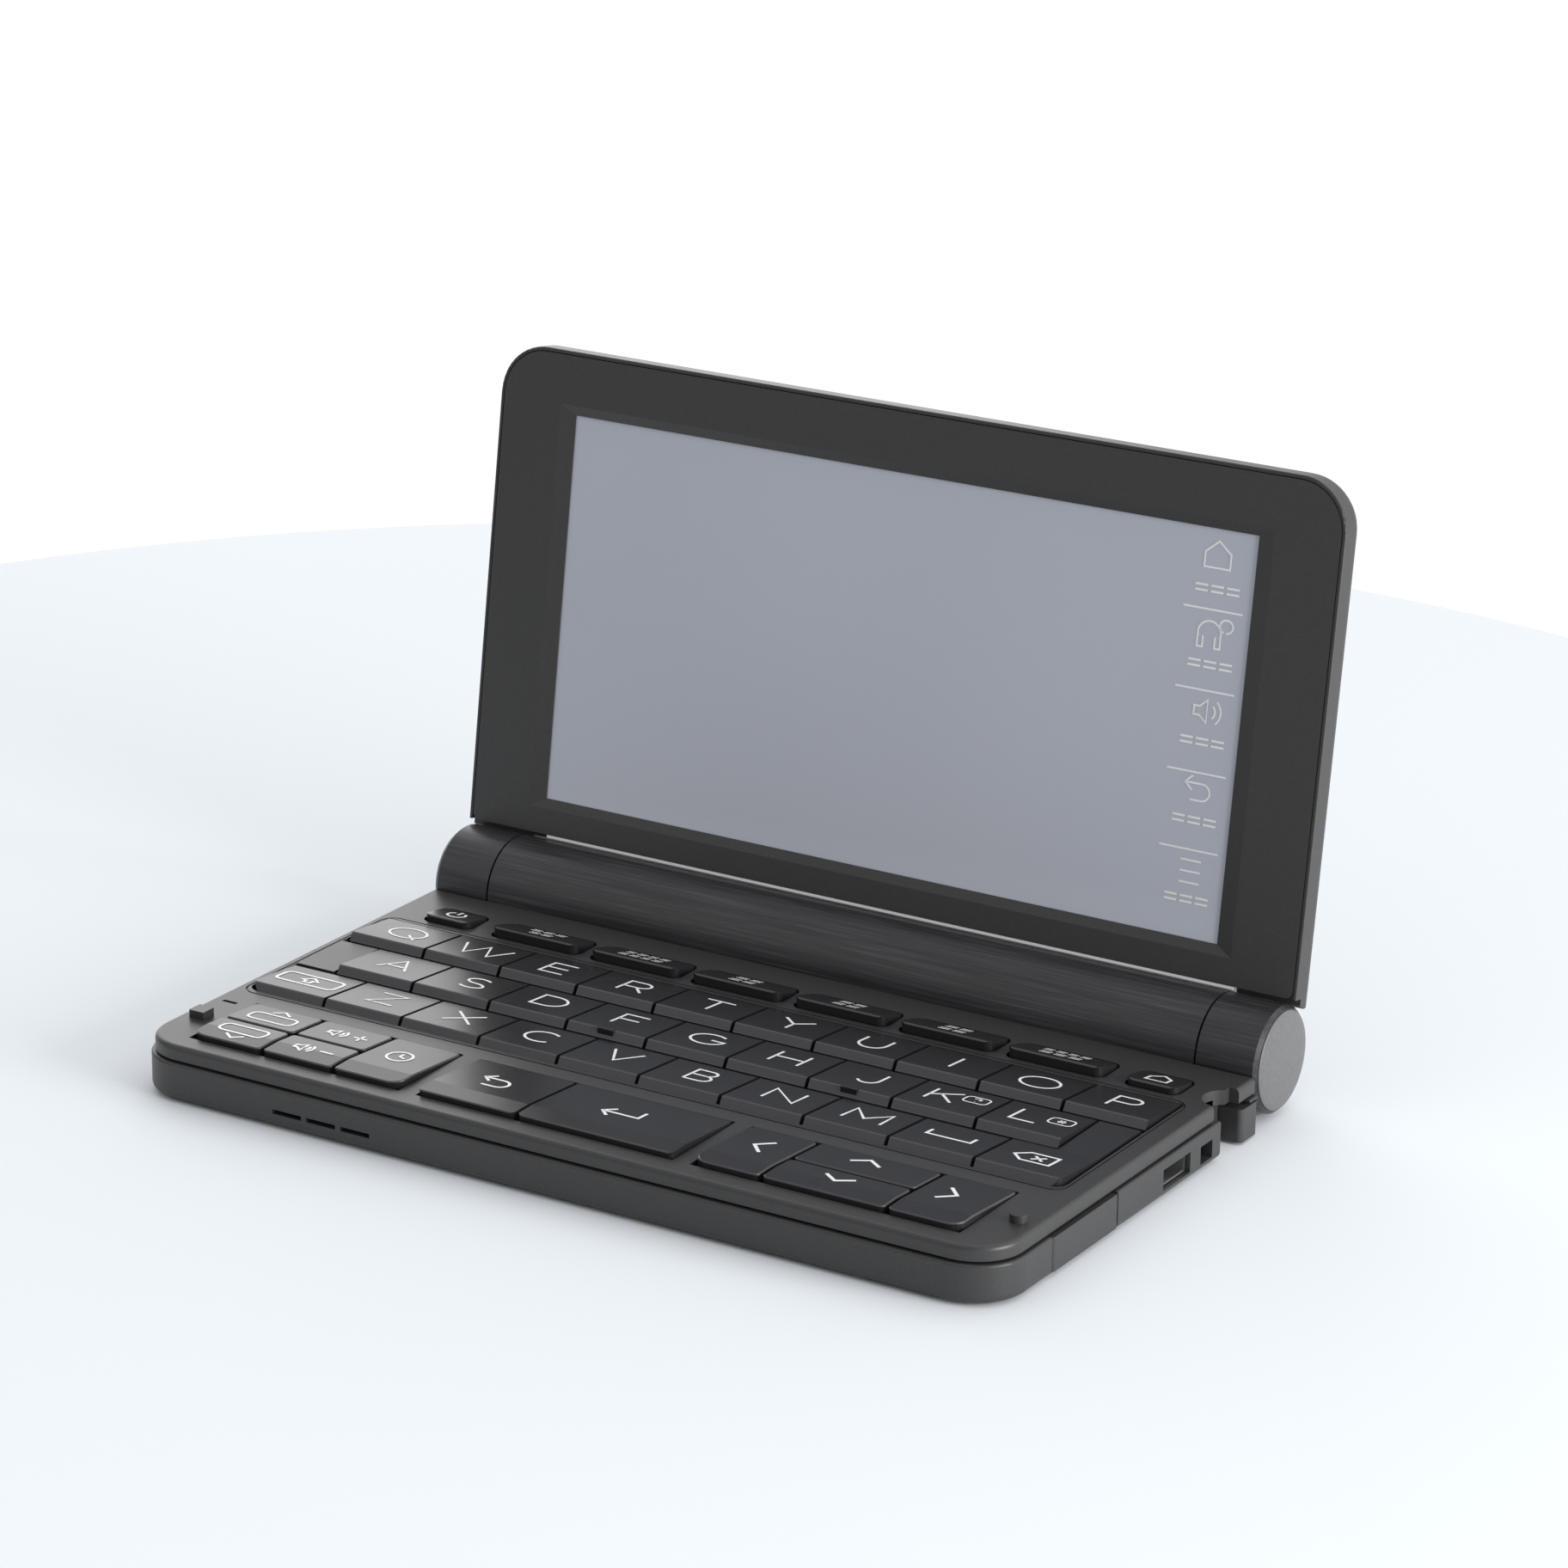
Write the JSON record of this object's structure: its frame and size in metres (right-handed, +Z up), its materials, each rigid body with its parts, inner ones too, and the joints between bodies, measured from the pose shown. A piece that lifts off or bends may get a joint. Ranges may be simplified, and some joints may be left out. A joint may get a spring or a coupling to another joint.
{
  "type": "electronic dictionary",
  "caption": "Handheld clamshell electronic dictionary with a touch screen in the lid, a letter keyboard, a battery barrel at the hinge, a stylus and a card door.",
  "frame": {"origin": "centre of the open part's footprint, on the table under the rubber feet", "axes": "+X to the right along the hinge, -Y towards the user, +Z up"},
  "size_m": [0.148, 0.1042, 0.094],
  "materials": {
    "case_plastic": "fine matte texture",
    "deck_plastic": "fine matte texture",
    "bezel_plastic": "fine matte texture",
    "barrel_plastic": "satin with fine lines along it",
    "key_plastic": "satin",
    "grey_plastic": "satin",
    "touch_glass": "smooth, slightly matte",
    "panel_metal": "plain",
    "plated_steel": "plain",
    "screw_steel": "blackened",
    "pin_steel": "turned",
    "circuit_board": "solder mask",
    "key_rubber": "matte",
    "foot_rubber": "matte",
    "socket_plastic": "plain",
    "cell_wrap": "plain wrap"
  },
  "bodies": {
    "base": {"bottom_case": "case_plastic", "top_case": "deck_plastic", "battery_barrel": "barrel_plastic", "battery_cells": "cell_wrap", "battery_contacts": "plated_steel", "main_board": "circuit_board", "key_sheet": "key_rubber", "speaker": "plated_steel", "usb_socket": "plated_steel", "earphone_jack": "socket_plastic", "card_socket": "plated_steel", "rubber_feet": "foot_rubber", "case_screws": "screw_steel"},
    "battery_cover": {"battery_cover": "barrel_plastic"},
    "card_door": {"card_door": "case_plastic"},
    "stylus": {"stylus": "case_plastic"},
    "lid": {"lid_shell": "case_plastic", "lid_bezel": "bezel_plastic", "hinge_trim": "grey_plastic", "touch_panel": "touch_glass", "display_panel": "panel_metal", "barrel_ends": "barrel_plastic", "end_caps": "grey_plastic", "hinge_pins": "pin_steel"},
    "power_key": {"power_key": "key_plastic"},
    "home_key": {"home_key": "key_plastic"},
    "shift_key": {"shift_key": "key_plastic"},
    "space_key": {"space_key": "key_plastic"},
    "delete_key": {"delete_key": "key_plastic"},
    "back_key": {"back_key": "key_plastic"},
    "enter_key": {"enter_key": "key_plastic"},
    "dictionary_keys": {"dictionary_keys": "key_plastic"},
    "page_volume_keys": {"page_volume_keys": "key_plastic"},
    "arrow_keys": {"arrow_keys": "key_plastic"},
    "key_q": {"key_q": "key_plastic"},
    "key_w": {"key_w": "key_plastic"},
    "key_e": {"key_e": "key_plastic"},
    "key_r": {"key_r": "key_plastic"},
    "key_t": {"key_t": "key_plastic"},
    "key_y": {"key_y": "key_plastic"},
    "key_u": {"key_u": "key_plastic"},
    "key_i": {"key_i": "key_plastic"},
    "key_o": {"key_o": "key_plastic"},
    "key_p": {"key_p": "key_plastic"},
    "key_a": {"key_a": "key_plastic"},
    "key_s": {"key_s": "key_plastic"},
    "key_d": {"key_d": "key_plastic"},
    "key_f": {"key_f": "key_plastic"},
    "key_g": {"key_g": "key_plastic"},
    "key_h": {"key_h": "key_plastic"},
    "key_j": {"key_j": "key_plastic"},
    "key_k": {"key_k": "key_plastic"},
    "key_l": {"key_l": "key_plastic"},
    "key_z": {"key_z": "key_plastic"},
    "key_x": {"key_x": "key_plastic"},
    "key_c": {"key_c": "key_plastic"},
    "key_v": {"key_v": "key_plastic"},
    "key_b": {"key_b": "key_plastic"},
    "key_n": {"key_n": "key_plastic"},
    "key_m": {"key_m": "key_plastic"}
  },
  "joints": [
    {"name": "lid_hinge", "type": "hinge", "parent": "base", "child": "lid", "pos_m": [0, 0.03338, 0.0089], "axis": [1, 0, 0], "range_deg": [-61.9, 98.1]},
    {"name": "battery_cover_slide", "type": "slide", "parent": "base", "child": "battery_cover", "axis": [0, 1, 0], "range_m": [0, 0.012]},
    {"name": "card_door_hinge", "type": "hinge", "parent": "base", "child": "card_door", "pos_m": [0.0733, -0.03592, 0.0035], "axis": [0, 0, -1], "range_deg": [0, 90]},
    {"name": "stylus_slide", "type": "slide", "parent": "base", "child": "stylus", "axis": [1, 0, 0], "range_m": [0, 0.091]},
    {"name": "power_key_press", "type": "slide", "parent": "base", "child": "power_key", "axis": [0, 0, -1], "range_m": [0, 0.0008], "stiffness_N_per_m": 650},
    {"name": "home_key_press", "type": "slide", "parent": "base", "child": "home_key", "axis": [0, 0, -1], "range_m": [0, 0.0008], "stiffness_N_per_m": 650},
    {"name": "shift_key_press", "type": "slide", "parent": "base", "child": "shift_key", "axis": [0, 0, -1], "range_m": [0, 0.0008], "stiffness_N_per_m": 650},
    {"name": "space_key_press", "type": "slide", "parent": "base", "child": "space_key", "axis": [0, 0, -1], "range_m": [0, 0.0008], "stiffness_N_per_m": 650},
    {"name": "delete_key_press", "type": "slide", "parent": "base", "child": "delete_key", "axis": [0, 0, -1], "range_m": [0, 0.0008], "stiffness_N_per_m": 650},
    {"name": "back_key_press", "type": "slide", "parent": "base", "child": "back_key", "axis": [0, 0, -1], "range_m": [0, 0.0008], "stiffness_N_per_m": 650},
    {"name": "enter_key_press", "type": "slide", "parent": "base", "child": "enter_key", "axis": [0, 0, -1], "range_m": [0, 0.0008], "stiffness_N_per_m": 650},
    {"name": "dictionary_keys_press", "type": "slide", "parent": "base", "child": "dictionary_keys", "axis": [0, 0, -1], "range_m": [0, 0.0008], "stiffness_N_per_m": 650},
    {"name": "page_volume_keys_press", "type": "slide", "parent": "base", "child": "page_volume_keys", "axis": [0, 0, -1], "range_m": [0, 0.0008], "stiffness_N_per_m": 650},
    {"name": "arrow_keys_press", "type": "slide", "parent": "base", "child": "arrow_keys", "axis": [0, 0, -1], "range_m": [0, 0.0008], "stiffness_N_per_m": 650},
    {"name": "key_q_press", "type": "slide", "parent": "base", "child": "key_q", "axis": [0, 0, -1], "range_m": [0, 0.0008], "stiffness_N_per_m": 650},
    {"name": "key_w_press", "type": "slide", "parent": "base", "child": "key_w", "axis": [0, 0, -1], "range_m": [0, 0.0008], "stiffness_N_per_m": 650},
    {"name": "key_e_press", "type": "slide", "parent": "base", "child": "key_e", "axis": [0, 0, -1], "range_m": [0, 0.0008], "stiffness_N_per_m": 650},
    {"name": "key_r_press", "type": "slide", "parent": "base", "child": "key_r", "axis": [0, 0, -1], "range_m": [0, 0.0008], "stiffness_N_per_m": 650},
    {"name": "key_t_press", "type": "slide", "parent": "base", "child": "key_t", "axis": [0, 0, -1], "range_m": [0, 0.0008], "stiffness_N_per_m": 650},
    {"name": "key_y_press", "type": "slide", "parent": "base", "child": "key_y", "axis": [0, 0, -1], "range_m": [0, 0.0008], "stiffness_N_per_m": 650},
    {"name": "key_u_press", "type": "slide", "parent": "base", "child": "key_u", "axis": [0, 0, -1], "range_m": [0, 0.0008], "stiffness_N_per_m": 650},
    {"name": "key_i_press", "type": "slide", "parent": "base", "child": "key_i", "axis": [0, 0, -1], "range_m": [0, 0.0008], "stiffness_N_per_m": 650},
    {"name": "key_o_press", "type": "slide", "parent": "base", "child": "key_o", "axis": [0, 0, -1], "range_m": [0, 0.0008], "stiffness_N_per_m": 650},
    {"name": "key_p_press", "type": "slide", "parent": "base", "child": "key_p", "axis": [0, 0, -1], "range_m": [0, 0.0008], "stiffness_N_per_m": 650},
    {"name": "key_a_press", "type": "slide", "parent": "base", "child": "key_a", "axis": [0, 0, -1], "range_m": [0, 0.0008], "stiffness_N_per_m": 650},
    {"name": "key_s_press", "type": "slide", "parent": "base", "child": "key_s", "axis": [0, 0, -1], "range_m": [0, 0.0008], "stiffness_N_per_m": 650},
    {"name": "key_d_press", "type": "slide", "parent": "base", "child": "key_d", "axis": [0, 0, -1], "range_m": [0, 0.0008], "stiffness_N_per_m": 650},
    {"name": "key_f_press", "type": "slide", "parent": "base", "child": "key_f", "axis": [0, 0, -1], "range_m": [0, 0.0008], "stiffness_N_per_m": 650},
    {"name": "key_g_press", "type": "slide", "parent": "base", "child": "key_g", "axis": [0, 0, -1], "range_m": [0, 0.0008], "stiffness_N_per_m": 650},
    {"name": "key_h_press", "type": "slide", "parent": "base", "child": "key_h", "axis": [0, 0, -1], "range_m": [0, 0.0008], "stiffness_N_per_m": 650},
    {"name": "key_j_press", "type": "slide", "parent": "base", "child": "key_j", "axis": [0, 0, -1], "range_m": [0, 0.0008], "stiffness_N_per_m": 650},
    {"name": "key_k_press", "type": "slide", "parent": "base", "child": "key_k", "axis": [0, 0, -1], "range_m": [0, 0.0008], "stiffness_N_per_m": 650},
    {"name": "key_l_press", "type": "slide", "parent": "base", "child": "key_l", "axis": [0, 0, -1], "range_m": [0, 0.0008], "stiffness_N_per_m": 650},
    {"name": "key_z_press", "type": "slide", "parent": "base", "child": "key_z", "axis": [0, 0, -1], "range_m": [0, 0.0008], "stiffness_N_per_m": 650},
    {"name": "key_x_press", "type": "slide", "parent": "base", "child": "key_x", "axis": [0, 0, -1], "range_m": [0, 0.0008], "stiffness_N_per_m": 650},
    {"name": "key_c_press", "type": "slide", "parent": "base", "child": "key_c", "axis": [0, 0, -1], "range_m": [0, 0.0008], "stiffness_N_per_m": 650},
    {"name": "key_v_press", "type": "slide", "parent": "base", "child": "key_v", "axis": [0, 0, -1], "range_m": [0, 0.0008], "stiffness_N_per_m": 650},
    {"name": "key_b_press", "type": "slide", "parent": "base", "child": "key_b", "axis": [0, 0, -1], "range_m": [0, 0.0008], "stiffness_N_per_m": 650},
    {"name": "key_n_press", "type": "slide", "parent": "base", "child": "key_n", "axis": [0, 0, -1], "range_m": [0, 0.0008], "stiffness_N_per_m": 650},
    {"name": "key_m_press", "type": "slide", "parent": "base", "child": "key_m", "axis": [0, 0, -1], "range_m": [0, 0.0008], "stiffness_N_per_m": 650}
  ]
}
